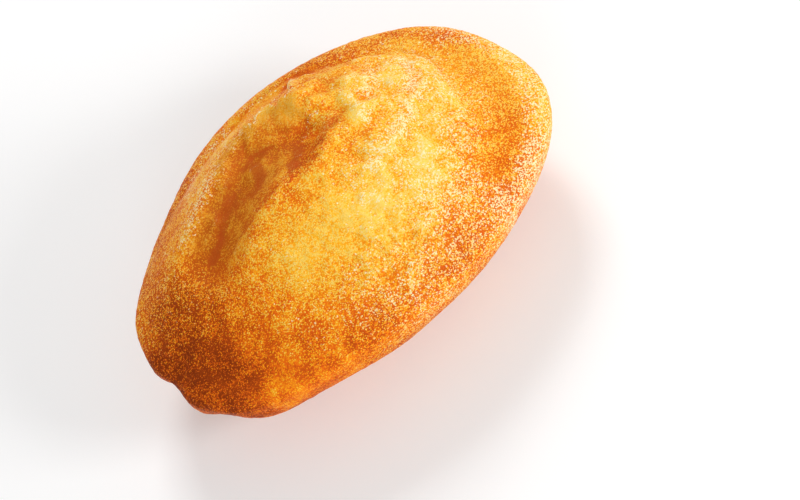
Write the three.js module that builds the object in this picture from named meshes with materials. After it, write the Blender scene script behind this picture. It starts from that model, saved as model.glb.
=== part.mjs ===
// A madeleine: a small shell-shaped sponge cake. It lies on its ribbed shell side with the risen
// crown up. Millimetres, +Z up, the origin on the table under the middle of the cake. +X runs along
// the cake, from the broad fan end at -X to the hinge end at +X.
import * as THREE from "three";
import { mergeVertices } from "three/addons/utils/BufferGeometryUtils.js";

// Driving dimensions.
const LENGTH = 77;
const WIDTH = 50;
const SHELL_DEPTH = 16.25; // from the rim's widest line down to the table
const BAND_RISE = 5.2; // the browned band inside the rim stands this far above the widest line
const CROWN_RISE = 9.2; // the risen crown stands this far above the band
const FLAT_SPOT = 0.75; // what the cake's own weight presses flat under it

// How full each outline is: 2 is a plain ellipse, and more is squarer.
const PLAN_FULLNESS = 2.2;
const SHELL_FULLNESS = 2.15;
const BAND_FULLNESS = 2.5;

// The crown, seen from above: its middle, and how far it reaches from there each way. Its edge is
// steep where it burst over the rim, towards `steepTurn` degrees from +X, and gentle opposite.
const CROWN = {
  x: 1,
  y: 2,
  reach: { fan: 36, hinge: 28, far: 21, near: 27 },
  steepTurn: 60,
  steepPower: 0.72,
  gentlePower: 1.5,
};

// The ribs of the shell run along it and spread towards the fan end. They fade out on the flanks and
// at the hinge end, and only the middle valley still notches the rim.
const RIB_DEPTH = 1.9;
const RIB_SPACING = { hinge: 5.6, fan: 9.3 };
const RIB_SWAY = -2.2; // the middle valley ends this far off the centre line at the fan end
const RIB_VALLEY_SHARPNESS = 0.9;

// The mesh is a box of squares blown up into a ball, then pressed into the cake's shape.
const SQUARES_LONG = 36;
const SQUARES_WIDE = 34;
const SQUARES_HIGH = 22;

// The plan outline is uneven: the share by which each wave moves it in or out around the cake.
const OUTLINE_WAVES = [
  { turns: 1, cos: 0.042, sin: 0.038 },
  { turns: 2, cos: -0.006, sin: 0.004 },
  { turns: 3, cos: -0.02, sin: -0.034 },
  { turns: 4, cos: 0.012, sin: -0.004 },
  { turns: 5, cos: 0.006, sin: 0.002 },
  { turns: 6, cos: -0.013, sin: -0.003 },
];

// Splits and folds of the crown, where the batter tore as it rose. Each runs along a curve of
// [x, y] points, lifts the surface by `rise` there and fades out `reach` to either side.
const FOLDS = [
  // The torn ledge beside the crown, and the crack along its foot with a branch.
  { path: [[-19, 4], [-13, 6], [-8, 8], [-2, 9.5], [4, 8]], reach: 6.5, rise: -2.4 },
  { path: [[-18.6, 3.4], [-15.6, 4.6], [-12.9, 6.8], [-8, 10.8], [-1.5, 14.8]], reach: 2.3, rise: -1.3 },
  { path: [[-6, 11.8], [-3, 9.6], [0, 8.6]], reach: 2.4, rise: -0.6 },
  // A fold across the top of the ledge, with a browned ridge over it.
  { path: [[0, 2.8], [3, 5], [7.5, 7.5]], reach: 2.4, rise: -1.2 },
  { path: [[2.5, 0], [6, 1.5], [11, 2]], reach: 3.2, rise: 0.8 },
  // The flank that stayed with the rim.
  { path: [[-24, 9], [-17, 12], [-11, 16], [-4, 19], [4, 20]], reach: 5, rise: 0.6 },
  // Scaly steps where the crown hangs over the rim.
  { path: [[0, 21.5], [4, 20.5], [6, 17]], reach: 2, rise: -0.8 },
  { path: [[5.5, 21], [8, 19.5], [12, 19]], reach: 1.8, rise: -0.7 },
  // The curled lip over the hinge end, and the groove between the crown and the rim there.
  { path: [[21, 14.5], [25, 11], [27, 6.5], [27, 2], [25, -2]], reach: 2.8, rise: 0.8 },
  { path: [[31, 8], [32.5, 0], [30.5, -9], [27, -15.5], [22, -19]], reach: 4, rise: -0.7 },
  // Low waves over the crown.
  { path: [[12, 8], [17, 5], [20, 0.5], [17, -5]], reach: 3.5, rise: -0.6 },
  { path: [[11, -3], [14, 1.5], [15, 7]], reach: 3, rise: 0.6 },
];

const FOLD_STEPS = 40; // points along each fold's curve

// Puffed lobes of batter: each is a round swelling.
const LOBES = [
  { at: [-2.6, 5], reach: 3.4, rise: 0.9 },
  { at: [-9.5, 4.5], reach: 3.2, rise: 0.8 },
  { at: [-14.5, 4.2], reach: 2.8, rise: 0.6 },
  { at: [-1.5, 13], reach: 3.6, rise: 1 },
  { at: [3, 10.5], reach: 3.4, rise: 0.9 },
  { at: [8, 14], reach: 6, rise: 1 },
  { at: [21, 3], reach: 5, rise: 0.9 },
  { at: [20, -8], reach: 7, rise: 0.6 },
  { at: [16, 12], reach: 5, rise: 0.7 },
];

const smoothstep = THREE.MathUtils.smoothstep;

// 1 on the spot and 0 from `reach` away, with a smooth slope between.
function falloff(distance, reach) {
  return 1 - smoothstep(distance, 0, reach);
}

// The ball's direction, pushed out or in until it lies on a squared-off ball.
function squaredBall(direction) {
  const [x, y, z] = [direction.x, direction.y, direction.z].map(Math.abs);
  const plan = (x ** PLAN_FULLNESS + y ** PLAN_FULLNESS) ** (1 / PLAN_FULLNESS);
  const fullness = direction.z > 0 ? BAND_FULLNESS : SHELL_FULLNESS;
  const size = (plan ** fullness + z ** fullness) ** (-1 / fullness);
  return direction.clone().multiplyScalar(size);
}

// How far the uneven outline stands out at this angle around the cake, where 1 is a plain one.
function outlineShare(turn) {
  let share = 1;
  for (const { turns, cos, sin } of OUTLINE_WAVES) {
    share += cos * Math.cos(turns * turn) + sin * Math.sin(turns * turn);
  }
  return share;
}

// The crown's height above the band, before it split.
function crownRise(x, y) {
  const { reach, steepTurn, steepPower, gentlePower } = CROWN;
  const along = (x - CROWN.x) / (x > CROWN.x ? reach.hinge : reach.fan);
  const across = (y - CROWN.y) / (y > CROWN.y ? reach.far : reach.near);
  const turn = Math.atan2(across, along) - THREE.MathUtils.degToRad(steepTurn);
  const steepness = (1 + Math.cos(turn)) / 2;
  const power = THREE.MathUtils.lerp(gentlePower, steepPower, steepness);
  return CROWN_RISE * Math.max(0, 1 - along ** 2 - across ** 2) ** power;
}

// A point on the plain cake, without ribs and folds, for a direction from the ball's centre. Z is
// measured from the rim's widest line.
function plainCake(direction) {
  const ball = squaredBall(direction);
  const share = outlineShare(Math.atan2(direction.y, direction.x));
  const x = (LENGTH / 2) * ball.x * share;
  const y = (WIDTH / 2) * ball.y * share;
  const z = ball.z > 0 ? BAND_RISE * ball.z + crownRise(x, y) : SHELL_DEPTH * ball.z;
  return new THREE.Vector3(x, y, z);
}

// How far the valley between two ribs is pressed in at this point of the shell.
function ribValley({ x, y, z }, outwards) {
  const fromHinge = THREE.MathUtils.clamp(0.5 - x / LENGTH, 0, 1);
  const spacing = THREE.MathUtils.lerp(RIB_SPACING.hinge, RIB_SPACING.fan, fromHinge);
  const ribsFromMiddle = (y - RIB_SWAY * fromHinge) / spacing;
  const valley = (Math.cos(Math.PI * ribsFromMiddle) ** 2) ** RIB_VALLEY_SHARPNESS;
  const nearHinge = smoothstep(fromHinge, 0.03, 0.35);
  const offMiddle = smoothstep(Math.abs(ribsFromMiddle), 0.4, 0.8);
  const belowRim = 1 - smoothstep(z, -4 - 4 * offMiddle, BAND_RISE - 2 * offMiddle);
  const offFlank = 1 - 0.8 * smoothstep(Math.abs(outwards.y), 0.6, 0.9);
  return RIB_DEPTH * valley * nearHinge * belowRim * offFlank;
}

const foldCurves = FOLDS.map(({ path }) => {
  const points = path.map(([x, y]) => new THREE.Vector2(x, y));
  return new THREE.SplineCurve(points).getPoints(FOLD_STEPS);
});

// What folds and lobes add to the crown's height here.
function crownRelief(x, y) {
  const here = new THREE.Vector2(x, y);
  let rise = 0;
  FOLDS.forEach(({ reach, rise: height }, i) => {
    const distance = Math.min(...foldCurves[i].map((point) => point.distanceTo(here)));
    rise += height * falloff(distance, reach);
  });
  for (const { at, reach, rise: height } of LOBES) {
    rise += height * falloff(Math.hypot(x - at[0], y - at[1]), reach);
  }
  return rise;
}

// The unit box's surface as a closed skin of evenly spread squares, each vertex a direction.
function directions() {
  const box = new THREE.BoxGeometry(2, 2, 2, SQUARES_LONG, SQUARES_WIDE, SQUARES_HIGH);
  box.deleteAttribute("normal");
  box.deleteAttribute("uv");
  const skin = mergeVertices(box);
  const corner = skin.attributes.position;
  for (let i = 0; i < corner.count; i += 1) {
    const flat = [corner.getX(i), corner.getY(i), corner.getZ(i)];
    const direction = new THREE.Vector3(...flat.map((side) => Math.tan((side * Math.PI) / 4))).normalize();
    corner.setXYZ(i, direction.x, direction.y, direction.z);
  }
  return skin;
}

function cake() {
  const skin = directions();
  const place = skin.attributes.position;
  const point = new THREE.Vector3();
  for (let i = 0; i < place.count; i += 1) {
    place.setXYZ(i, ...plainCake(point.fromBufferAttribute(place, i)));
  }
  skin.computeVertexNormals();
  const outwards = new THREE.Vector3();
  for (let i = 0; i < place.count; i += 1) {
    point.fromBufferAttribute(place, i);
    outwards.fromBufferAttribute(skin.attributes.normal, i);
    const relief = crownRelief(point.x, point.y) * smoothstep(point.z, 0.5, BAND_RISE);
    point.addScaledVector(outwards, -ribValley(point, outwards));
    point.z = Math.max(point.z + relief, FLAT_SPOT - SHELL_DEPTH);
    place.setXYZ(i, ...point);
  }
  skin.deleteAttribute("normal");
  skin.computeBoundingBox();
  const middle = skin.boundingBox.getCenter(new THREE.Vector3());
  skin.translate(-middle.x, -middle.y, -skin.boundingBox.min.z);
  skin.computeVertexNormals();
  return skin;
}

const crust = new THREE.MeshStandardMaterial({ color: 0xd98a2b, roughness: 0.72, metalness: 0 });
const madeleine = new THREE.Mesh(cake(), crust);
madeleine.name = "madeleine";

const group = new THREE.Group();
group.add(madeleine);

export default group;
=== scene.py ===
import math

import bpy
import numpy as np
from mathutils import Matrix, Vector, noise


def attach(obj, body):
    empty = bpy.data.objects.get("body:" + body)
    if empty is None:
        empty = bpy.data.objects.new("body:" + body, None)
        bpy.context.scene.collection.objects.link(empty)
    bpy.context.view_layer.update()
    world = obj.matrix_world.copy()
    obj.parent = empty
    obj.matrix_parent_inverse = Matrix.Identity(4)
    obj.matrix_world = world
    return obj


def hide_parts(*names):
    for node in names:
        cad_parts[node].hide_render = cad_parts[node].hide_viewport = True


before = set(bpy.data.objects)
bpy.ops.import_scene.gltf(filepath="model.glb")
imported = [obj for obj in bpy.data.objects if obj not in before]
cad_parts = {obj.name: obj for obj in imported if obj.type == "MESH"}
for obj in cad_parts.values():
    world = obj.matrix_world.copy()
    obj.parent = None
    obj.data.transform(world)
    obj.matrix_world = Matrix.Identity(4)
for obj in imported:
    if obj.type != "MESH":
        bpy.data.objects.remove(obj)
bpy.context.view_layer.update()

bl_info = {
    "name": "Madeleine cake",
    "version": (1, 0, 0),
    "blender": (4, 5, 0),
    "location": "View3D > Sidebar > Madeleine",
    "description": "A shell-shaped sponge cake with a risen, split crown and a fine-grained browned crust",
    "category": "Object",
}

MM = 0.001
CAD_NODE = "madeleine"
PIECE = "madeleine_cake"
RIM_HEIGHT = 15.5  # mm, the widest line of the cake above the table

# The crown's relief, seen from above in millimetres. A ridge is a soft swelling along its path, or a
# hollow where its rise is negative. A lip is a step: the surface on its left stands up at the path
# and sinks away from it over `reach`. A crack is a groove along its path, with reddish walls.
RIDGES = (
    # Round lobes of batter on the ledge beside the crown.
    {"path": ((-18.4, 3.6), (-15.6, 4.8), (-12.9, 6.8), (-8, 10.6), (-2.5, 14)), "reach": 3.2, "rise": 0.3},
    {"path": ((-17.6, 5.2), (-15.6, 6.2)), "reach": 2.4, "rise": 0.5},
    {"path": ((-6.2, 8), (-4.2, 7.2)), "reach": 2.4, "rise": 0.5},
    {"path": ((-10.5, 10.5), (-8.5, 12)), "reach": 2.6, "rise": 0.45},
    # Crests on the crown, with a crease between.
    {"path": ((12.1, 5.4), (12.5, 2.7), (12.8, 0.2)), "reach": 1.7, "rise": 0.55},
    {
        "path": ((19.4, -1.6), (17.1, -3.7), (14.5, -5.2), (11.2, -5.8), (7.6, -7.6)),
        "reach": 2.6,
        "rise": 0.5,
    },
    {"path": ((16.6, 5.2), (18.1, 2.5), (19.8, 1.0), (22.2, 1.6)), "reach": 2, "rise": -0.5},
    {"path": ((8.5, 11.5), (12.5, 12.5), (16.5, 11)), "reach": 1.9, "rise": 0.45},
    {"path": ((9, 7), (12.5, 6.5), (15, 6.5)), "reach": 3.5, "rise": 0.6},
)
LIPS = (
    # The crown's edge over the ledge.
    {
        "path": (
            (4.5, -2.6), (0.7, -0.5), (-2, 0.5), (-5.4, 0.2),
            (-9.5, 0.3), (-12.7, 0.2), (-16.9, 0), (-19.5, 0.9),
        ),
        "reach": 4,
        "rise": 0.3,
    },
    # Two torn scales over the far edge.
    {
        "path": ((10.8, 20.2), (10.2, 19), (8.7, 16.4), (7.2, 13.4), (6.5, 13.1), (5.4, 14.6)),
        "reach": 2.6,
        "rise": 1.1,
    },
    {
        "path": ((4.6, 13.2), (4, 14.8), (3, 16.4), (1.4, 15.3), (-0.2, 14.4), (-1.2, 17)),
        "reach": 2.8,
        "rise": 1.1,
    },
    # The fold in the ledge under the crown.
    {"path": ((7.4, 7.8), (6, 6.9), (4.4, 6.2), (2.8, 5), (1.6, 3.8)), "reach": 2.2, "rise": 0.6},
    # The curled edge over the hinge end.
    {
        "path": ((25.4, -0.6), (27.2, 2), (27.6, 4.6), (26.8, 7.4), (25.6, 9.4), (25.4, 11.6)),
        "reach": 2.4,
        "rise": 0.4,
    },
)
CRACKS = (
    # The long split at the foot of the crown, with its branch.
    {
        "path": ((-19.4, 3.1), (-17.2, 3.7), (-14.8, 5.7), (-11, 6.9), (-8.5, 8), (-5.4, 10.8)),
        "width": 0.8,
        "depth": 1.0,
    },
    {"path": ((-5.4, 10.8), (-3.9, 12.7), (-2.3, 14.7)), "width": 0.6, "depth": 0.6},
    {"path": ((-5.2, 10.6), (-3.7, 9.3), (-1.8, 8.8), (-0.6, 8.1)), "width": 0.6, "depth": 0.7},
    # Where the crown's foot meets the rim on the far side.
    {
        "path": (
            (-6, 20.6), (-0.8, 22.1), (4.2, 22.9), (10.5, 22.4),
            (15.8, 19.1), (21.2, 14.9), (25.8, 11.2),
        ),
        "width": 0.5,
        "depth": 0.8,
    },
)
# Reddish stains with torn edges, where the batter inside showed and baked: `width` to either side.
STAINS = (
    {"path": ((-20.8, 2.6), (-19.1, 3.2), (-17.3, 3.7), (-15.8, 5)), "width": 0.6, "share": 1.0},
    {"path": ((-16.2, 4.6), (-14.9, 5.8), (-12.5, 7.2), (-10.5, 8.2)), "width": 0.85, "share": 0.75},
    {
        "path": ((-11.5, 8.3), (-9.5, 9.9), (-7.2, 11.4), (-4.7, 12.3), (-2.9, 13.6)),
        "width": 0.5,
        "share": 0.5,
    },
    {"path": ((-7.3, 10.2), (-5.8, 9.9), (-3.6, 10.2), (-2.5, 9.4), (-0.8, 8.5)), "width": 0.4, "share": 0.9},
    {"path": ((-5, 9.3), (-5.2, 7.2), (-6.2, 5.4), (-7.4, 4)), "width": 1.1, "share": 0.85},
    {"path": ((-12, 6.6), (-10, 5.4), (-8, 4)), "width": 0.9, "share": 0.6},
    {"path": ((-2.4, 1.8), (-1, 2.3), (0.4, 3.2), (1.2, 4.8)), "width": 1.0, "share": 0.95},
    {"path": ((9.3, 3), (7.7, 2.6), (5.7, 2.2), (3.8, 1.4), (2.2, 0.6)), "width": 1.1, "share": 0.4},
)

# How the oven browned the crown and its band, with painted shade and painted highlights where noted: `brown`
# is added on the path, less towards `reach`.
BROWNED_AND_SHADED = (
    # The near band, darkest round the corner of the fan end: browning there, and partly painted shade.
    {"path": ((-34, -4), (-27, -14), (-17, -21)), "reach": 13, "brown": 0.4},
    {"path": ((-9, -23), (0, -24), (10, -22)), "reach": 5, "brown": 0.2},
    {"path": ((8, -23), (18, -20), (28, -13)), "reach": 8, "brown": 0.2},
    {"path": ((-36, -9), (-33, -15), (-29, -18.5), (-21, -22)), "reach": 3, "brown": 0.15},
    # The outermost edge round that corner, darker still as painted shade.
    {"path": ((-39.5, 1), (-39, -7), (-37.5, -12), (-33.5, -17.5), (-28, -21)), "reach": 2.5, "brown": 0.25},
    {"path": ((-37, -9), (-36.5, -11), (-35.5, -13), (-33, -15.5)), "reach": 3, "brown": 0.1},
    {"path": ((-37.5, 1), (-37.5, -1.5)), "reach": 2.5, "brown": 0.25},
    {"path": ((-13.5, -23.5), (-7, -24.5), (1, -25.5), (9.5, -25)), "reach": 3, "brown": 0.15},
    # The hinge end: a browned groove inside a paler rim.
    {"path": ((31, 9), (34, 1), (34, -6), (31.5, -11), (28, -14), (23, -18)), "reach": 3, "brown": 0.05},
    {"path": ((37, -3), (35.5, -10), (32, -16)), "reach": 4, "brown": -0.15},
    {"path": ((26, 9), (28, 2), (25, -6)), "reach": 6, "brown": -0.2},
    # The far rim.
    {"path": ((-18, 20), (-6, 24), (6, 25), (18, 22)), "reach": 4, "brown": 0.2},
    {"path": ((12, 20), (18, 18.5), (26, 15)), "reach": 4, "brown": 0.3},
    {"path": ((8, 24), (14, 22.5), (21, 19.5)), "reach": 3, "brown": 0.15},
    {"path": ((1, 22), (4.5, 20.5), (8.5, 20.5), (10, 20.5)), "reach": 2, "brown": 0.05},
    {"path": ((5.5, 18), (6, 17), (8, 18.5), (9.5, 20.5)), "reach": 1.5, "brown": 0.25},
    {"path": ((29, 14), (31.5, 9.5), (34, 5)), "reach": 3.5, "brown": 0.3},
    {"path": ((-37, 0), (-34, 8), (-26, 15)), "reach": 6, "brown": -0.05},
    # The torn ledge beside the crown, browner partly from browning and partly as painted shade, and the pale
    # flank beyond it.
    {"path": ((-17, 0.5), (-12, 1), (-7, 1), (-2, 1), (3, -1)), "reach": 3, "brown": 0.1},
    {"path": ((-15, 5.5), (-12, 6), (-7, 6), (-2, 6.5), (2, 6)), "reach": 4.5, "brown": 0.2},
    {"path": ((2, 1), (7, 2.5), (11, 4)), "reach": 4, "brown": 0.2},
    {"path": ((2, -0.5), (5.5, -3), (10, -2.5)), "reach": 5, "brown": 0.05},
    {"path": ((-4.5, -0.5), (-3, 0), (-1.5, 0.5), (-0.5, -1.5), (1, -2.5)), "reach": 2, "brown": 0.25},
    {"path": ((5.5, 1), (4.5, 1)), "reach": 2.5, "brown": 0.25},
    {"path": ((-24, 9), (-17, 13), (-10, 17), (-4, 20)), "reach": 6, "brown": -0.2},
    {"path": ((-19, 7), (-15, 8)), "reach": 4, "brown": -0.15},
    # Painted highlights on the round lobes of the ledge.
    {"path": ((-3.5, 5.5), (-2, 5)), "reach": 2, "brown": -0.25},
    {"path": ((-14.5, 3.5), (-14, 2.5)), "reach": 2, "brown": -0.25},
    {"path": ((3, 13.5), (5, 10.5)), "reach": 3.5, "brown": -0.25},
    {"path": ((6.5, 7), (6.5, 5)), "reach": 2, "brown": -0.1},
    # Golden hollows between the crests, browner as painted shade.
    {"path": ((13.5, -8), (10.5, -10.5), (8, -12), (5.5, -14)), "reach": 2.5, "brown": 0.15},
    {"path": ((10.5, -3.5), (10, -5.5)), "reach": 3, "brown": 0.15},
    {"path": ((16, 12.5), (17, 10.5)), "reach": 3, "brown": 0.15},
    # Uneven baking of the band.
    {"path": ((-27.5, 3), (-25.5, 1), (-24.5, -1.5), (-24, -4.5)), "reach": 4, "brown": 0.1},
    {"path": ((-31.5, 6), (-31, 4)), "reach": 3, "brown": 0.15},
    {"path": ((-30, -10), (-29.5, -12.5), (-28.5, -14.5)), "reach": 3.5, "brown": 0.15},
    {"path": ((-28, -18.5), (-25, -20.5)), "reach": 3, "brown": -0.2},
    {"path": ((-19.5, -18.5), (-18.5, -20.5)), "reach": 3, "brown": 0.1},
    {"path": ((-14, -13), (-13, -15), (-12.5, -16.5)), "reach": 4, "brown": -0.15},
    {"path": ((-14, -21.5), (-13, -23.5)), "reach": 3, "brown": 0.1},
    {"path": ((-8, -22.5), (-7.5, -23.5)), "reach": 2.5, "brown": 0.15},
    {"path": ((-1.5, -24), (-2, -25.5)), "reach": 3, "brown": -0.1},
    {"path": ((6, -20), (5.5, -22)), "reach": 3.5, "brown": -0.15},
    {"path": ((5.5, -21.5), (8.5, -21), (11, -20)), "reach": 4, "brown": -0.1},
    {"path": ((20.5, -21.5), (19.5, -23.5)), "reach": 3, "brown": 0.1},
    {"path": ((22.5, -18.5), (25, -21)), "reach": 4, "brown": 0.1},
    # The palest parts of the crown.
    {"path": ((22, -2), (19, -6), (15, -9)), "reach": 5, "brown": -0.2},
    {"path": ((17, 4), (14, -4), (4, -8)), "reach": 13, "brown": -0.3},
    {"path": ((-11, -9), (-5, -11), (3, -13), (12, -12.5)), "reach": 8, "brown": -0.35},
    {"path": ((11.5, 5), (11.5, 2.5), (11, 0)), "reach": 3, "brown": -0.3},
    {"path": ((22.5, 4), (19, 4.5)), "reach": 3, "brown": -0.25},
    {"path": ((-2.5, -3), (-1, -3)), "reach": 2.5, "brown": -0.2},
)

# The ledge beside the crown, smoothed out and coloured an even ochre, which is painted shade.
LEDGE = {
    "path": ((-26, -4), (-20.5, 1.8), (-16, 4.2), (-11, 6), (-5, 7.2), (1, 7.4), (6, 7)),
    "width": 3.2,
    "reach": 7,
}
BEYOND_LEDGE = ((-7, 12), (-3, 13), (1, 12), (4, 10.5))  # the smooth lobes on its far side

# Where pale specks lie on the crust: pale dry crumb, and painted glints where the lamps catch the grain on
# the crests, the rims and the flank. `crumb_and_glint` is added on the path, less towards `reach`.
CRUMB_AND_GLINTS = (
    # The pale crown, and its crests.
    {"path": ((20, 6), (17, -3), (9, -9)), "reach": 11, "crumb_and_glint": 0.38},
    {"path": ((27, 4), (25, -6), (18, -13), (9, -17)), "reach": 7, "crumb_and_glint": 0.28},
    {"path": ((12, 5), (12.5, 1), (11.5, -2)), "reach": 2, "crumb_and_glint": 0.4},
    {"path": ((24.5, 6.5), (23.4, 3.3), (21.2, 0.5), (20.8, -1.5)), "reach": 1.6, "crumb_and_glint": 0.5},
    {"path": ((18.5, -2.5), (15, -5.2), (11, -6), (7.5, -7.6)), "reach": 2, "crumb_and_glint": 0.4},
    {"path": ((18.4, 6.9), (17.1, 4.7), (15.1, 3.4)), "reach": 2.5, "crumb_and_glint": 0.35},
    {"path": ((1.7, -8.6), (1.4, -11.4), (0.3, -13.8)), "reach": 5.5, "crumb_and_glint": 0.22},
    # Golden places between them, and on the near side of the rim at the hinge end.
    {"path": ((10.9, -3.8), (10.3, -5.6)), "reach": 3, "crumb_and_glint": -0.25},
    {"path": ((16, 12.5), (17.3, 10.2)), "reach": 3, "crumb_and_glint": -0.2},
    {"path": ((21.1, -16.8), (20.5, -21.5)), "reach": 3.5, "crumb_and_glint": -0.2},
    # The rim at the hinge end, and the browned groove inside it.
    {"path": ((34, 9), (37, 2), (37, -6), (34, -14), (28, -19), (18, -23)), "reach": 5.5, "crumb_and_glint": 0.42},
    {"path": ((32, -2.5), (31, -8), (30, -12.5)), "reach": 4, "crumb_and_glint": 0.2},
    {"path": ((32.5, 2), (32.8, -5), (30.6, -10.5), (27, -14.5), (22, -18)), "reach": 3.5, "crumb_and_glint": -0.4},
    # The near band, with coarse pale grains.
    {"path": ((27, -19.5), (19, -22.5), (9, -24.5), (-2, -24.5), (-8, -23.5)), "reach": 5, "crumb_and_glint": 0.2},
    {"path": ((-18, -18), (-8, -20), (4, -21), (16, -18)), "reach": 7, "crumb_and_glint": 0.2},
    # The far rim, and the flank between it and the ledge.
    {"path": ((-37.5, 3), (-34, 11), (-28, 17), (-20, 21)), "reach": 5, "crumb_and_glint": 0.1},
    {"path": ((-15, 17), (-9, 20.5), (-3, 21)), "reach": 4, "crumb_and_glint": 0.35},
    {
        "path": ((-20.6, 8), (-17.3, 10.3), (-13.6, 12.2), (-9.6, 14), (-5.8, 15), (-2.6, 15.2)),
        "reach": 3.4,
        "crumb_and_glint": 0.45,
    },
)

# Painted highlights along thin edges of torn crust and along crests: each is `width` to either side of its
# path.
EDGE_HIGHLIGHTS = (
    {"path": ((7.4, 7.1), (6.2, 6.8), (4.5, 6.2), (2.5, 4.9)), "width": 0.3},
    {"path": ((8.2, 6), (7.6, 6.7), (6.8, 7.1)), "width": 0.2},
    {"path": ((4.6, 13), (4, 14.6), (3, 16.2), (1.4, 15.1), (-0.2, 14.2), (-1.2, 16.8)), "width": 0.25},
    {"path": ((10.8, 20), (10.2, 18.8), (8.7, 16.2), (7.2, 13.2), (6.5, 12.9), (5.4, 14.4)), "width": 0.25},
    {"path": ((27.5, 6.5), (27.9, 4.7), (26.7, 1.9), (25.7, -0.2)), "width": 0.35},
    {"path": ((22.6, 0.4), (22.3, -1.3), (22.1, -3.2)), "width": 0.4},
    {"path": ((19, -0.8), (18.8, -2), (18.4, -3.6)), "width": 0.35},
    {"path": ((13, 3), (12.6, 1.2), (12.3, -0.6)), "width": 0.4},
)

# The smooth strip behind the crown's far foot, where little grain shows.
BARE = ((-1, 22.6), (0.9, 22), (4.4, 20.8), (8.5, 20.6), (11, 21), (14, 20))


class MadeleineForm(bpy.types.PropertyGroup):
    """Sizes of the relief on the cake"""

    crack_depth: bpy.props.FloatProperty(
        name="Crack depth",
        description="How deep the main split beside the crown goes",
        default=0.25 * MM,
        min=0,
        max=3 * MM,
        precision=5,
        unit="LENGTH",
    )
    lip_rise: bpy.props.FloatProperty(
        name="Lip rise",
        description="How far the torn lips stand up at full height",
        default=1.0 * MM,
        min=0,
        max=3 * MM,
        precision=5,
        unit="LENGTH",
    )
    swell: bpy.props.FloatProperty(
        name="Swelling",
        description="Height of the soft lumps over the crown",
        default=1.05 * MM,
        min=0,
        max=3 * MM,
        precision=5,
        unit="LENGTH",
    )
    swell_size: bpy.props.FloatProperty(
        name="Swelling size",
        description="How wide a soft lump is",
        default=5.5 * MM,
        min=1 * MM,
        max=20 * MM,
        precision=5,
        unit="LENGTH",
    )
    crumb: bpy.props.FloatProperty(
        name="Crumb height",
        description="Height of the small crumbs in the crust",
        default=0.28 * MM,
        min=0,
        max=1 * MM,
        precision=5,
        unit="LENGTH",
    )
    crumb_size: bpy.props.FloatProperty(
        name="Crumb size",
        description="How wide a small crumb is",
        default=1.1 * MM,
        min=0.3 * MM,
        max=5 * MM,
        precision=5,
        unit="LENGTH",
    )
    grain_size: bpy.props.FloatProperty(
        name="Grain size",
        description="Size of the finest grain of the crust",
        default=0.2 * MM,
        min=0.05 * MM,
        max=2 * MM,
        precision=5,
        unit="LENGTH",
    )


def crust_colour(name, description, default):
    """A colour property in linear light."""
    return bpy.props.FloatVectorProperty(
        name=name, description=description, default=default, size=3, min=0, max=1, subtype="COLOR"
    )


class MadeleineColours(bpy.types.PropertyGroup):
    """Colours of the crust, from the palest to the darkest"""

    cream: crust_colour("Cream", "The palest crust, high on the crown", (1.0, 0.66, 0.122))
    straw: crust_colour("Straw", "Most of the crown", (1.0, 0.525, 0.028))
    gold: crust_colour("Gold", "The crown's flanks", (0.99, 0.412, 0.011))
    amber: crust_colour("Amber", "Where the crown starts to brown", (0.92, 0.29, 0.007))
    orange: crust_colour("Orange", "The lightly browned band", (0.85, 0.19, 0.006))
    rust: crust_colour("Rust", "The well browned band and shell", (0.74, 0.115, 0.005))
    # Brown is the dark corner of the fan end, browning and partly painted shade; umber, at its outermost
    # edge, is mostly painted shade.
    brown: crust_colour("Brown", "The dark corner of the fan end", (0.4, 0.058, 0.004))
    umber_and_shade: crust_colour("Umber", "The darkest crust, at the outermost edge there", (0.05, 0.007, 0.002))
    # Tan and ochre are painted shade on the ledge beside the crown.
    tan: crust_colour("Tan", "The palest of the sheltered ledge beside the crown", (0.75, 0.28, 0.02))
    ochre: crust_colour("Ochre", "The sheltered ledge beside the crown", (0.5, 0.125, 0.007))
    # Split is also painted as shadow at the feet of the lips.
    split: crust_colour("Split", "Inside the cracks of the crown", (0.55, 0.09, 0.008))
    # Speck is pale dry crumb, and also painted glints on the grain.
    speck_and_glint: crust_colour("Speck", "The pale dry specks of the grain", (1.0, 0.87, 0.52))
    floor: crust_colour("Floor", "The plain floor", (0.8, 0.8, 0.8))


class MadeleineStage(bpy.types.PropertyGroup):
    """The camera and the lamps"""

    camera_turn: bpy.props.FloatProperty(
        name="Camera turn",
        description="How far the camera stands round from the near side",
        default=math.radians(-16),
        subtype="ANGLE",
    )
    camera_rise: bpy.props.FloatProperty(
        name="Camera rise",
        description="How far the camera looks down",
        default=math.radians(56),
        subtype="ANGLE",
    )
    camera_roll: bpy.props.FloatProperty(
        name="Camera roll",
        description="How far the camera is turned about its own view",
        default=math.radians(30.52),
        subtype="ANGLE",
    )
    camera_distance: bpy.props.FloatProperty(
        name="Camera distance",
        description="From the middle of the cake to the camera",
        default=0.42,
        unit="LENGTH",
    )
    key_power: bpy.props.FloatProperty(
        name="Key lamp", description="Power of the lamp on the right in watts", default=1.92, min=0
    )
    top_power: bpy.props.FloatProperty(
        name="Top lamp", description="Power of the lamp behind the cake in watts", default=1.82, min=0
    )
    front_power: bpy.props.FloatProperty(
        name="Front lamp", description="Power of the lamp at the front in watts", default=0.85, min=0
    )
    room_light: bpy.props.FloatProperty(
        name="Room light", description="Strength of the even light all round", default=0.38, min=0
    )


# ---------------------------------------------------------------------------------------------
# Measuring the mesh


def rows(items, field):
    """A field of three numbers, one row for each item."""
    flat = np.empty(len(items) * 3)
    items.foreach_get(field, flat)
    return flat.reshape(-1, 3)


def places(piece):
    """The vertices of a piece in millimetres, one row each."""
    return rows(piece.data.vertices, "co") / MM


def outwards(piece):
    """The vertex normals of a piece, one row each."""
    return rows(piece.data.vertex_normals, "vector")


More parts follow.
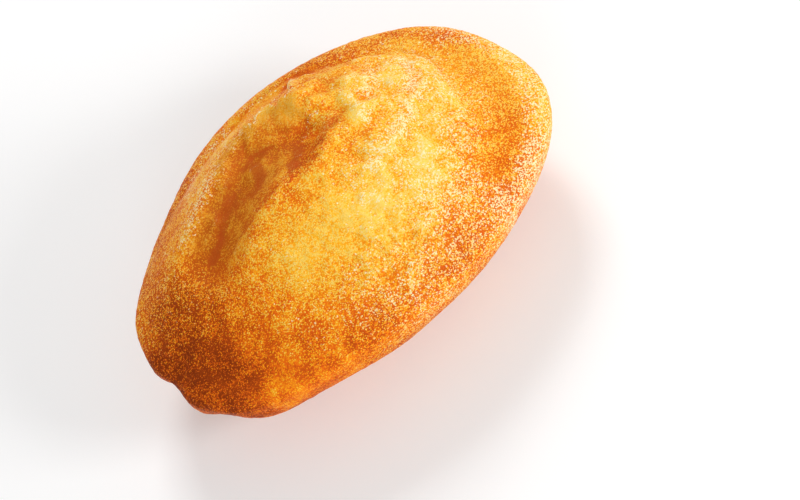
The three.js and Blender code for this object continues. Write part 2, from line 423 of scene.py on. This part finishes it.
def smooth(value, low, high):
    """0 below low, 1 above high, with a soft slope between. Low may be above high."""
    share = np.clip((np.asarray(value, float) - low) / (high - low), 0, 1)
    return share * share * (3 - 2 * share)


def wander(points, size, seed):
    """Smooth seeded noise from about -1 to 1 at each point, its waves `size` millimetres wide."""
    shift = Vector((seed * 7.3, seed * 3.1, seed * 5.7))
    return np.array([noise.noise(Vector(point) / size + shift) for point in points])


def soft_curve(path, steps=14):
    """Points along a smooth curve through the path's own points."""
    given = np.array(path, float)
    ends = np.vstack([2 * given[0] - given[1], given, 2 * given[-1] - given[-2]])
    share = np.linspace(0, 1, steps, endpoint=False)[:, None]
    curve = []
    for before, start, end, after in zip(ends, ends[1:], ends[2:], ends[3:]):
        turn_in, turn_out = (end - before) / 2, (after - start) / 2
        curve.append(
            start
            + turn_in * share
            + (3 * (end - start) - 2 * turn_in - turn_out) * share**2
            + (2 * (start - end) + turn_in + turn_out) * share**3
        )
    curve.append(given[-1:])
    return np.vstack(curve)


def beside_path(points, path):
    """For each point, how far it lies from the path (left of it is positive), and where along it
    that is, from 0 to 1."""
    curve = soft_curve(path)
    gaps = points[:, None, :2] - curve[None]
    nearest = (gaps**2).sum(2).argmin(1)
    along = np.gradient(curve, axis=0)[nearest]
    gap = gaps[np.arange(len(points)), nearest]
    side = np.sign(along[:, 0] * gap[:, 1] - along[:, 1] * gap[:, 0])
    return np.hypot(*gap.T) * side, nearest / (len(curve) - 1)


def hollows(piece, fine, broad):
    """How far each vertex lies inside its surroundings, in millimetres: the surface averaged over
    `broad` rounds of smoothing against the surface averaged over `fine` rounds."""
    mesh = piece.data
    pairs = np.empty(len(mesh.edges) * 2, dtype=np.int32)
    mesh.edges.foreach_get("vertices", pairs)
    one, other = pairs[::2], pairs[1::2]
    count = len(mesh.vertices)
    neighbours = np.bincount(pairs, minlength=count)[:, None]
    soft = places(piece)
    kept = soft
    for turn in range(broad):
        if turn == fine:
            kept = soft
        soft = np.stack(
            [
                np.bincount(one, axis[other], count) + np.bincount(other, axis[one], count)
                for axis in soft.T
            ],
            axis=1,
        ) / neighbours
    return ((soft - kept) * outwards(piece)).sum(1)


# ---------------------------------------------------------------------------------------------
# Shaping


def take_up(piece):
    """Selects the piece alone and makes it active."""
    bpy.ops.object.select_all(action="DESELECT")
    piece.select_set(True)
    bpy.context.view_layer.objects.active = piece


def finish_modifier(piece, kind, **settings):
    """Adds a modifier to the piece, sets it and applies it."""
    take_up(piece)
    modifier = piece.modifiers.new(kind.lower(), kind)
    for name, value in settings.items():
        setattr(modifier, name, value)
    bpy.ops.object.modifier_apply(modifier=modifier.name)


def weigh(piece, name, weights):
    """Gives the piece a vertex group with these weights."""
    group = piece.vertex_groups.new(name=name)
    for index in np.flatnonzero(weights > 0.004):
        group.add([int(index)], float(min(weights[index], 1)), "REPLACE")
    return group


def raise_weighted(piece, weights, rise, texture=None):
    """Lifts the surface by `rise` metres times the weights, or times the texture too."""
    group = weigh(piece, "lift", weights)
    settings = {"texture": texture} if texture else {}
    finish_modifier(
        piece,
        "DISPLACE",
        vertex_group=group.name,
        strength=rise,
        mid_level=0.5 if texture else 0,
        texture_coords="LOCAL",
        **settings,
    )
    piece.vertex_groups.remove(piece.vertex_groups["lift"])


def cloud_texture(name, size, **settings):
    """A soft noise texture with waves about `size` metres wide."""
    texture = bpy.data.textures.new(name, "CLOUDS")
    texture.noise_scale = size
    for key, value in settings.items():
        setattr(texture, key, value)
    return texture


def plain_sponge():
    """The frame's solid as one smooth closed skin of squares."""
    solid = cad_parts[CAD_NODE]
    piece = bpy.data.objects.new(PIECE, solid.data.copy())
    bpy.context.scene.collection.objects.link(piece)
    piece.data.name = PIECE
    piece.data.materials.clear()
    take_up(piece)
    bpy.ops.mesh.customdata_custom_splitnormals_clear()
    bpy.ops.object.mode_set(mode="EDIT")
    bpy.ops.mesh.select_all(action="SELECT")
    bpy.ops.mesh.remove_doubles(threshold=0.001 * MM)
    bpy.ops.mesh.tris_convert_to_quads(face_threshold=math.pi, shape_threshold=math.pi)
    bpy.ops.object.mode_set(mode="OBJECT")
    finish_modifier(piece, "SUBSURF", levels=2, render_levels=2)
    bpy.ops.object.shade_smooth()
    return piece


def near_path(points, path, reach, core=0.0):
    """1 within `core` of the path and 0 from `reach` away, with a soft slope between."""
    return smooth(np.abs(beside_path(points, path)[0]), reach, core)


def end_fade(along):
    """Fades a split or a lip out at both of its ends."""
    return smooth(along, 0, 0.12) * smooth(along, 1, 0.86)


def on_crown_side(points):
    """1 on the side that the crown rose from, 0 on the shell."""
    return smooth(points[:, 2], RIM_HEIGHT, RIM_HEIGHT + 2)


def ragged(points, size, seed, reach=0.45):
    """The points moved about at random, so that what is measured from them gets torn edges."""
    return points + np.stack([wander(points, size, seed + turn) for turn in range(3)], 1) * reach


def torn_lips(points):
    """The points moved about as the lips are torn, which the pale edges along them follow."""
    return ragged(points, 1.8, 4)


def on_ledge(points):
    """1 on the ledge beside the crown, with a soft edge to 0."""
    gap, along = beside_path(points, LEDGE["path"])
    on_top = smooth(points[:, 2], RIM_HEIGHT, RIM_HEIGHT + 3)
    from_ends = smooth(along, 0, 0.3) * smooth(along, 1, 0.68)
    return smooth(np.abs(gap), LEDGE["reach"], LEDGE["width"]) * from_ends * on_top


def shaded(points):
    """1 where the ledge's ochre painted shade lies and the grain shows less: on the ledge, and less so on the
    lobes beyond it.
    """
    beyond = 0.75 * near_path(points, BEYOND_LEDGE, 4.5, 2) * on_crown_side(points)
    return np.maximum(on_ledge(points), beyond)


def level_ledge(piece):
    """Evens out the ledge beside the crown."""
    group = weigh(piece, "ledge", on_ledge(places(piece)))
    finish_modifier(piece, "SMOOTH", vertex_group=group.name, factor=0.8, iterations=220)
    piece.vertex_groups.remove(piece.vertex_groups["ledge"])


def raise_ridges(piece):
    """Swells the soft ridges and lobes."""
    points = places(piece)
    loose = ragged(points, 3, 11, 0.9)
    for ridge in RIDGES:
        weights = near_path(loose, ridge["path"], ridge["reach"]) * on_crown_side(points)
        raise_weighted(piece, weights, ridge["rise"] * MM)


def open_cracks(piece, depth):
    """Presses the splits into the crown."""
    points = places(piece)
    torn = ragged(points, 2.2, 1, 0.6)
    pressed = np.zeros(len(points))
    for crack in CRACKS:
        gap, along = beside_path(torn, crack["path"])
        groove = np.exp(-((gap / crack["width"]) ** 2)) * end_fade(along)
        pressed = np.maximum(pressed, groove * crack["depth"])
    raise_weighted(piece, pressed * on_crown_side(points), -depth)


def stained(points):
    """How reddish the crust is at each point."""
    torn = ragged(points, 1.6, 21, 0.55)
    stain = np.zeros(len(points))
    for patch in STAINS:
        gap, along = beside_path(torn, patch["path"])
        edge = patch["width"] * (0.4 + 0.6 * end_fade(along))
        stain = np.maximum(stain, smooth(np.abs(gap) - edge, 0.2, -0.2) * patch["share"])
    return stain * on_crown_side(points)


def raise_lips(piece, rise):
    """Lifts the torn lips. Returns how much each vertex lies at the foot of one."""
    points = places(piece)
    torn = torn_lips(points)
    lifted = np.zeros(len(points))
    foot = np.zeros(len(points))
    for lip in LIPS:
        gap, along = beside_path(torn, lip["path"])
        step = smooth(gap, -0.2, 0.25) * np.exp(-np.maximum(gap, 0) / lip["reach"])
        lifted = np.maximum(lifted, step * end_fade(along) * lip["rise"])
        foot = np.maximum(foot, np.exp(-(((gap + 0.5) / 0.4) ** 2)) * end_fade(along))
    raise_weighted(piece, lifted * on_crown_side(points), rise)
    return foot * on_crown_side(points)


# The small knobs on the crown, as shares of the soft lumps.
KNOB_SIZE = 0.36
KNOB_HEIGHT = 0.85


def swell_crown(piece, form):
    """Soft lumps over the crown, and crumbs all over the cake except where it lies."""
    points = places(piece)
    on_crown = smooth(points[:, 2], RIM_HEIGHT + 2.5, RIM_HEIGHT + 7)
    # The lumps are highest towards the hinge end.
    on_crown *= 0.3 + 0.7 * smooth(points[:, 0] - 0.3 * points[:, 1], -6, 4)
    lumps = cloud_texture("soft lumps", form.swell_size, noise_depth=2)
    raise_weighted(piece, on_crown, form.swell, texture=lumps)
    knobs = cloud_texture("knobs", form.swell_size * KNOB_SIZE, noise_depth=2)
    raise_weighted(piece, on_crown * KNOB_HEIGHT, form.swell, texture=knobs)
    off_table = smooth(points[:, 2], 0.6, 3)
    crumbs = cloud_texture("crumbs", form.crumb_size, noise_depth=1, noise_basis="IMPROVED_PERLIN")
    raise_weighted(piece, off_table * 0.8, form.crumb, texture=crumbs)


def note(piece, name, values):
    """Keeps a value for each vertex, for the crust to read."""
    attribute = piece.data.attributes.new(name, "FLOAT", "POINT")
    attribute.data.foreach_set("value", np.asarray(values, np.float32))


# How browned the crust is, with painted shade and painted highlights where noted, from 0 for the palest to 1
# for dark brown.
CROWN = 0.5  # the middle of the crown, before the strokes of BROWNED_AND_SHADED
CROWN_MIDDLE = 1  # mm, where the middle of the crown lies in Y
TO_FAR_RIM, TO_NEAR_RIM = 22, 21  # mm, from there
TO_HINGE_RIM, TO_FAN_RIM = 32.5, 33.5  # mm
OUTER_CROWN_LESS = 0.22  # its outer parts are this much paler
# The fan end's darkness, on the crown and on the shell, is partly browning and partly painted shade.
FAN_MORE = 0.46  # the fan end is this much darker
DARKEST_CROWN = 1.08  # but no darker than this
SHELL = 0.8
SHELL_FAN_MORE = 0.12  # the shell gets this much darker towards the fan end


def browned(points):
    """How browned the crust is at each point, with the painted shade and painted highlights of the strokes.
    """
    x, y, z = points.T
    across = (y - CROWN_MIDDLE) / np.where(y > CROWN_MIDDLE, TO_FAR_RIM, TO_NEAR_RIM)
    along = x / np.where(x > 0, TO_HINGE_RIM, TO_FAN_RIM)
    crown = CROWN - OUTER_CROWN_LESS * smooth(np.hypot(along, across), 0.55, 1.08)
    crown += FAN_MORE * smooth(x - 0.55 * y, -8, -38)
    for patch in BROWNED_AND_SHADED:
        crown += patch["brown"] * near_path(points, patch["path"], patch["reach"])
    crown = np.minimum(crown, DARKEST_CROWN)
    on_top = smooth(z, RIM_HEIGHT - 6, RIM_HEIGHT - 1)
    shell = SHELL + SHELL_FAN_MORE * smooth(x - 0.4 * y, 5, -28)
    return on_top * crown + (1 - on_top) * shell


HALF_LENGTH, HALF_WIDTH = 36, 24  # mm, from the middle of the cake to the band's outer part


def on_band(points):
    """0 in the middle of the crown and 1 on the band around it."""
    return smooth(np.hypot(points[:, 0] / HALF_LENGTH, points[:, 1] / HALF_WIDTH), 0.55, 0.95)


def in_dark_corner(points):
    """1 in the dark corner of the fan end, which is partly painted shade, fading to 0 towards the crown."""
    return smooth(points[:, 0] + 0.9 * points[:, 1], -22, -42)


def crumbs_and_glints(points):
    """How thickly pale specks lie on the crust, partly pale dry crumb and partly painted glints, hardly at
    all in the dark corner of the fan end and in the painted shade of the ledge."""
    crumb_and_glint = 0.06 + 0.08 * on_band(points)
    torn = ragged(points, 1.5, 31, 0.4)
    for patch in CRUMB_AND_GLINTS:
        crumb_and_glint += patch["crumb_and_glint"] * near_path(torn, patch["path"], patch["reach"])
    crumb_and_glint = np.clip(crumb_and_glint, 0, 1) * (1 - 0.97 * in_dark_corner(points)) * (1 - 0.95 * shaded(points))
    torn = torn_lips(points)
    # Painted highlights along the torn edges and crests.
    for edge in EDGE_HIGHLIGHTS:
        gap, along = beside_path(torn, edge["path"])
        line = smooth(np.abs(gap), edge["width"] + 0.3, edge["width"] - 0.1) * end_fade(along)
        crumb_and_glint = np.maximum(crumb_and_glint, 0.6 * line * on_crown_side(points))
    return crumb_and_glint


def grainy(points):
    """How clearly the grain shows: most on the band and the rim, less on the crown, in the dark corner of the
    fan end and in the painted shade of the ledge, and least on the bare strip."""
    clear = (0.76 + 0.24 * on_band(points)) * (1 - 0.55 * in_dark_corner(points))
    return clear * (1 - 0.25 * shaded(points)) * (1 - 0.6 * near_path(points, BARE, 2.2, 0.8))


# ---------------------------------------------------------------------------------------------
# Finish


def put(tree, kind, inputs=None, **settings):
    """Adds a node, sets it, and fills its inputs with values or links."""
    node = tree.nodes.new(kind)
    for name, value in settings.items():
        setattr(node, name, value)
    for name, value in (inputs or {}).items():
        if isinstance(value, bpy.types.NodeSocket):
            tree.links.new(value, node.inputs[name])
        else:
            node.inputs[name].default_value = value
    return node


def sums(tree, operation, one, other=0.0, third=None):
    """A Math node's result."""
    inputs = {0: one, 1: other}
    if third is not None:
        inputs[2] = third
    return put(tree, "ShaderNodeMath", inputs, operation=operation).outputs[0]


def rescale(tree, value, low, high, to_low=0.0, to_high=1.0):
    """A value moved smoothly from one range to another."""
    inputs = {"Value": value, "From Min": low, "From Max": high, "To Min": to_low, "To Max": to_high}
    return put(tree, "ShaderNodeMapRange", inputs, interpolation_type="SMOOTHSTEP").outputs[0]


def read(tree, name):
    """A vertex value kept by note()."""
    return put(tree, "ShaderNodeAttribute", attribute_name=name).outputs["Fac"]


# The flocks and flakes of the grain, as shares of its scale: less is larger.
FLOCK_SCALE = 0.09
FLAKE_SCALE = 0.45


def grain_group():
    """A dry, fine-grained crust: how high its grains stand, their tone, which stand out palest, and a few
    larger flakes that sparkle, which become painted glints."""
    group = bpy.data.node_groups.new("fine grain", "ShaderNodeTree")
    face = group.interface
    face.new_socket("Vector", in_out="INPUT", socket_type="NodeSocketVector")
    face.new_socket("Scale", in_out="INPUT", socket_type="NodeSocketFloat")
    face.new_socket("Height", in_out="OUTPUT", socket_type="NodeSocketFloat")
    face.new_socket("Tone", in_out="OUTPUT", socket_type="NodeSocketFloat")
    face.new_socket("Heap", in_out="OUTPUT", socket_type="NodeSocketFloat")
    face.new_socket("Sparkle", in_out="OUTPUT", socket_type="NodeSocketFloat")
    given = group.nodes.new("NodeGroupInput")
    result = group.nodes.new("NodeGroupOutput")
    place, scale = given.outputs["Vector"], given.outputs["Scale"]
    cells = put(group, "ShaderNodeTexVoronoi", {"Vector": place, "Scale": scale})
    lot = put(group, "ShaderNodeSeparateColor", {0: cells.outputs["Color"]}).outputs[0]
    flock_scale = sums(group, "MULTIPLY", scale, FLOCK_SCALE)
    flocks = put(
        group,
        "ShaderNodeTexNoise",
        {"Vector": place, "Scale": flock_scale, "Detail": 4.0, "Roughness": 0.6},
    )
    dome = rescale(group, cells.outputs["Distance"], 0.75, 0.2)
    tone = sums(group, "MULTIPLY", sums(group, "POWER", lot, 1.4), rescale(group, dome, 0.0, 1.0, 0.6, 1.4))
    heap = sums(group, "MULTIPLY_ADD", lot, 0.5, sums(group, "MULTIPLY_ADD", flocks.outputs[0], 0.2, 0.2))
    height = sums(group, "MULTIPLY_ADD", flocks.outputs[0], 4.0, sums(group, "MULTIPLY", dome, lot))
    flake_scale = sums(group, "MULTIPLY", scale, FLAKE_SCALE)
    flakes = put(group, "ShaderNodeTexVoronoi", {"Vector": place, "Scale": flake_scale})
    draw = put(group, "ShaderNodeSeparateColor", {0: flakes.outputs["Color"]}).outputs[0]
    body = rescale(group, flakes.outputs["Distance"], 0.5, 0.3)
    sparkle = sums(group, "MULTIPLY", rescale(group, draw, 0.9, 0.94), body)
    for name, value in (("Height", height), ("Tone", tone), ("Heap", heap), ("Sparkle", sparkle)):
        group.links.new(value, result.inputs[name])
    return group


DARKEST = 1.25  # how browned the darkest crust is
GRAIN_STRENGTH = 1.15  # how much the grain's tone changes how browned the crust is
AVERAGE_TONE = 0.36
MOTTLE = 0.16  # how much the finer blotches change it
# Browner hollows are painted shade, and paler crests are painted highlight.
HOLLOW_SHADE = 0.18  # how much browner hollows are
CREST_HIGHLIGHT = 0.08  # how much paler crests are


def brownness(tree, place, grain, baked, crest):
    """How browned the crust is from place to place, with its grains and blotches, painted shade in the
    hollows and painted highlights on the crests.
    """
    # The grain shows strongest on the browned band, and less in the painted shade of the ledge.
    strength = sums(tree, "MULTIPLY", read(tree, "grain"), GRAIN_STRENGTH)
    tone = sums(tree, "SUBTRACT", AVERAGE_TONE, grain.outputs["Tone"])
    brown = sums(tree, "MULTIPLY_ADD", tone, strength, baked)
    # Blotches, fainter on the pale crown.
    patches = put(tree, "ShaderNodeTexNoise", {"Vector": place, "Scale": 320.0, "Detail": 3.0})
    blotches = rescale(tree, patches.outputs[0], 0.32, 0.68, -0.5, 0.5)
    unevenness = rescale(tree, baked, 0.15, 0.6, 0.12, 0.28)
    brown = sums(tree, "MULTIPLY_ADD", blotches, unevenness, brown)
    mottle = put(tree, "ShaderNodeTexNoise", {"Vector": place, "Scale": 900.0, "Detail": 2.0})
    brown = sums(tree, "MULTIPLY_ADD", sums(tree, "SUBTRACT", mottle.outputs[0], 0.5), MOTTLE, brown)
    # Painted shade in the hollows and painted highlights on the crests.
    brown = sums(tree, "MULTIPLY_ADD", read(tree, "hollow"), HOLLOW_SHADE, brown)
    brown = sums(tree, "MULTIPLY_ADD", crest, -CREST_HIGHLIGHT, brown)
    # The pits between the grains are hardly darker than the crust round them.
    return sums(tree, "MINIMUM", brown, sums(tree, "MULTIPLY_ADD", baked, 0.6, 0.46))


def mixed(tree, share, one, other):
    """One colour moved towards another by a share from 0 to 1."""
    inputs = {"Factor": share, "A": one, "B": other}
    return put(tree, "ShaderNodeMix", inputs, data_type="RGBA").outputs["Result"]


def baked_colour(tree, brown, colours):
    """The crust's colour for how browned it is, with the ochre painted shade of the ledge, and red in the
    stains and as painted shadow at the feet of the lips.
    """
    ramp = put(tree, "ShaderNodeValToRGB", {"Fac": sums(tree, "DIVIDE", brown, DARKEST)})
    ramp.color_ramp.elements[0].color = (*colours.cream, 1)
    ramp.color_ramp.elements[1].color = (*colours.umber_and_shade, 1)
    for step, colour in (
        (0.2, colours.straw),
        (0.35, colours.gold),
        (0.5, colours.amber),
        (0.65, colours.orange),
        (0.8, colours.rust),
        (1.0, colours.brown),
    ):
        ramp.color_ramp.elements.new(step / DARKEST).color = (*colour, 1)
    ochre = mixed(tree, rescale(tree, brown, 0.3, 0.8), (*colours.tan, 1), (*colours.ochre, 1))
    # The ledge's even ochre is painted shade.
    crust = mixed(tree, sums(tree, "MULTIPLY", read(tree, "ledge"), 0.7), ramp.outputs[0], ochre)
    # The split colour on the reddish stains, and as painted shadow at the feet of the lips.
    return mixed(tree, sums(tree, "MULTIPLY", read(tree, "stain_and_foot_shadow"), 0.85), crust, (*colours.split, 1))


# The specks are pale crumb and painted glints: those added on the crests and the larger flakes are painted
# glints.
CREST_GLINTS = 0.12  # how much more pale crumb lies on crests
CRUMB_AND_GLINT_STRENGTH = 0.35  # how much the pale crumb adds to the specks
FLAKE_STRENGTH = 0.35  # how much the larger flakes add to them


def speck_and_glint_share(tree, grain, baked, crest):
    """How far each grain is a pale speck, partly dry crumb and partly painted glint. The more of them lie
    there, the more grains are, and on dark crust they are fainter."""
    crumb_and_glint = read(tree, "crumb_and_glint")
    thickly = sums(tree, "MULTIPLY_ADD", crest, CREST_GLINTS, crumb_and_glint)
    heap = sums(tree, "MULTIPLY_ADD", thickly, CRUMB_AND_GLINT_STRENGTH, grain.outputs["Heap"])
    flakes = sums(tree, "MULTIPLY", grain.outputs["Sparkle"], rescale(tree, crumb_and_glint, 0.03, 0.12))
    heap = sums(tree, "MULTIPLY_ADD", flakes, FLAKE_STRENGTH, heap)
    on_dark = rescale(tree, baked, 0.45, 0.85, 1.0, 0.4)
    return sums(tree, "MULTIPLY", rescale(tree, heap, 0.8, 0.95, 0.0, 0.9), on_dark)


def crust_material(form, colours):
    """The baked crust: pale on the crown, browned towards the rim and on the shell, with painted shade,
    painted highlights and painted glints in its colour.
    """
    material = bpy.data.materials.new("baked crust")
    material.use_nodes = True
    tree = material.node_tree
    tree.nodes.clear()
    place = put(tree, "ShaderNodeTexCoord").outputs["Object"]
    grain = put(tree, "ShaderNodeGroup", node_tree=grain_group())
    tree.links.new(place, grain.inputs["Vector"])
    grain.inputs["Scale"].default_value = 1 / form.grain_size

    baked, crest = read(tree, "browning_and_shade"), read(tree, "crest")
    brown = brownness(tree, place, grain, baked, crest)
    specks = speck_and_glint_share(tree, grain, baked, crest)
    bump = put(
        tree,
        "ShaderNodeBump",
        {"Height": grain.outputs["Height"], "Strength": 0.7, "Distance": form.grain_size * 0.5},
    )
    shader = put(
        tree,
        "ShaderNodeBsdfPrincipled",
        {
            "Base Color": mixed(tree, specks, baked_colour(tree, brown, colours), (*colours.speck_and_glint, 1)),
            "Roughness": rescale(tree, grain.outputs["Tone"], 0.0, 1.0, 0.55, 0.36),
            "Normal": bump.outputs[0],
            "Specular IOR Level": 0.05,
            "Subsurface Weight": 0.08,
            "Subsurface Radius": (1.0, 0.4, 0.12),
            "Subsurface Scale": 1.5 * MM,
        },
    )
    output = put(tree, "ShaderNodeOutputMaterial")
    tree.links.new(shader.outputs[0], output.inputs["Surface"])
    return material


class MADELEINE_OT_cake(bpy.types.Operator):
    """Shape the cake from the frame's solid: splits, lips, lumps and crumb, and its baked crust"""

    bl_idname = "madeleine.cake"
    bl_label = "Cake"

    def execute(self, context):
        form, colours = context.scene.madeleine_form, context.scene.madeleine_colours
        piece = plain_sponge()
        level_ledge(piece)
        raise_ridges(piece)
        foot = raise_lips(piece, form.lip_rise)
        open_cracks(piece, form.crack_depth)
        swell_crown(piece, form)
        points = places(piece)
        # Browning, with painted shade and painted highlights in it.
        note(piece, "browning_and_shade", browned(points))
        # Reddish stains, and painted shadow at the feet of the lips.
        note(piece, "stain_and_foot_shadow", np.clip(stained(points) + 0.3 * foot, 0, 1))
        note(piece, "grain", grainy(points))
        # Where the ledge's ochre is painted as shade.
        note(piece, "ledge", shaded(points))
        note(piece, "hollow", np.clip(hollows(piece, fine=4, broad=70) * 1.2, -0.6, 1))
        note(piece, "crest", np.clip(hollows(piece, fine=1, broad=10) * -14, -1, 1))
        # Pale crumb and painted glints.
        note(piece, "crumb_and_glint", crumbs_and_glints(points))
        piece.data.materials.append(crust_material(form, colours))
        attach(piece, "root")
        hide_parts(CAD_NODE)
        return {"FINISHED"}


# ---------------------------------------------------------------------------------------------
# Stage

FRAME_SIZE = (800, 500)  # the picture, in pixels
CAKE_IN_FRAME = (332.16, 207.74)  # where the middle of the cake stands in it
PIXELS_PER_METRE = 6311.7  # how large the cake stands in the picture
CAKE_MIDDLE = Vector((0, 0, RIM_HEIGHT * MM))
LAMP_DISTANCE = 0.6  # metres, from there


def view_axes(stage):
    """The camera's right, up and back directions while it looks straight at the cake."""
    turn, rise, roll = stage.camera_turn, stage.camera_rise, stage.camera_roll
    back = Vector((math.sin(turn) * math.cos(rise), -math.cos(turn) * math.cos(rise), math.sin(rise)))
    level = Vector((math.cos(turn), math.sin(turn), 0))
    upright = back.cross(level)
    right = level * math.cos(roll) - upright * math.sin(roll)
    up = level * math.sin(roll) + upright * math.cos(roll)
    return right, up, back


def add_camera(stage):
    """A camera that looks down on the cake, rolled, with the cake left of the middle."""
    right, up, back = view_axes(stage)
    focus = PIXELS_PER_METRE * stage.camera_distance
    aside = (CAKE_IN_FRAME[0] - FRAME_SIZE[0] / 2) / focus
    above = (FRAME_SIZE[1] / 2 - CAKE_IN_FRAME[1]) / focus
    back_off = (back + right * aside + up * above).normalized()
    right_off = (right - back_off * right.dot(back_off)).normalized()
    up_off = back_off.cross(right_off)
    bpy.ops.object.camera_add()
    camera = bpy.context.object
    camera.name = "camera"
    place = Matrix((right_off, up_off, back_off)).transposed().to_4x4()
    place.translation = CAKE_MIDDLE + back * stage.camera_distance
    camera.matrix_world = place
    camera.data.sensor_width = 36
    camera.data.lens = focus / FRAME_SIZE[0] * camera.data.sensor_width
    camera.data.clip_start = 0.01
    bpy.context.scene.camera = camera


def add_lamp(name, direction, size, power):
    """A square soft lamp that shines at the cake from a direction."""
    towards = direction.normalized()
    bpy.ops.object.light_add(type="AREA", location=CAKE_MIDDLE + towards * LAMP_DISTANCE)
    lamp = bpy.context.object
    lamp.name = name
    lamp.rotation_mode = "QUATERNION"
    lamp.rotation_quaternion = towards.to_track_quat("Z", "Y")
    lamp.data.size = size
    lamp.data.energy = power


class MADELEINE_OT_stage(bpy.types.Operator):
    """Set up the plain floor, the soft lamps and the camera"""

    bl_idname = "madeleine.stage"
    bl_label = "Stage"

    def execute(self, context):
        stage, colours = context.scene.madeleine_stage, context.scene.madeleine_colours
        bpy.ops.object.select_all(action="DESELECT")
        bpy.ops.mesh.primitive_plane_add(size=4)
        floor = bpy.context.object
        floor.name = "floor"
        paint = bpy.data.materials.new("floor paint")
        paint.use_nodes = True
        shader = paint.node_tree.nodes["Principled BSDF"]
        shader.inputs["Base Color"].default_value = (*colours.floor, 1)
        shader.inputs["Roughness"].default_value = 0.9
        shader.inputs["Emission Color"].default_value = (1, 1, 1, 1)
        shader.inputs["Emission Strength"].default_value = 0.2
        floor.data.materials.append(paint)

        right, up, back = view_axes(stage)
        add_lamp("key lamp", right * 0.74 + up * 0.16 + back * 0.65, 0.18, stage.key_power)
        add_lamp("top lamp", right * -0.31 + up * 0.94 + back * 0.14, 0.2, stage.top_power)
        add_lamp("front lamp", right * -0.1 + up * -0.62 + back * 0.78, 0.25, stage.front_power)
        world = bpy.data.worlds.new("room")
        world.use_nodes = True
        sky = world.node_tree.nodes["Background"]
        sky.inputs["Color"].default_value = (1, 1, 1, 1)
        sky.inputs["Strength"].default_value = stage.room_light
        context.scene.world = world
        context.scene.view_settings.view_transform = "Standard"
        add_camera(stage)
        return {"FINISHED"}


class MADELEINE_PT_panel(bpy.types.Panel):
    """The cake's steps and its sizes and colours"""

    bl_label = "Madeleine"
    bl_idname = "MADELEINE_PT_panel"
    bl_space_type = "VIEW_3D"
    bl_region_type = "UI"
    bl_category = "Madeleine"

    def draw(self, context):
        column = self.layout.column()
        for step in STEPS:
            column.operator(step.bl_idname)
        for name in SETTINGS:
            group = getattr(context.scene, name)
            for key in group.bl_rna.properties.keys():
                if key not in ("rna_type", "name"):
                    column.prop(group, key)


STEPS = (MADELEINE_OT_cake, MADELEINE_OT_stage)
SETTINGS = {
    "madeleine_form": MadeleineForm,
    "madeleine_colours": MadeleineColours,
    "madeleine_stage": MadeleineStage,
}


def register():
    for item in (*SETTINGS.values(), *STEPS, MADELEINE_PT_panel):
        bpy.utils.register_class(item)
    for name, group in SETTINGS.items():
        setattr(bpy.types.Scene, name, bpy.props.PointerProperty(type=group))


def unregister():
    for name in SETTINGS:
        delattr(bpy.types.Scene, name)
    for item in (MADELEINE_PT_panel, *STEPS, *SETTINGS.values()):
        bpy.utils.unregister_class(item)


def main():
    register()
    bpy.ops.madeleine.cake()
    bpy.ops.madeleine.stage()


if __name__ == "__main__":
    main()
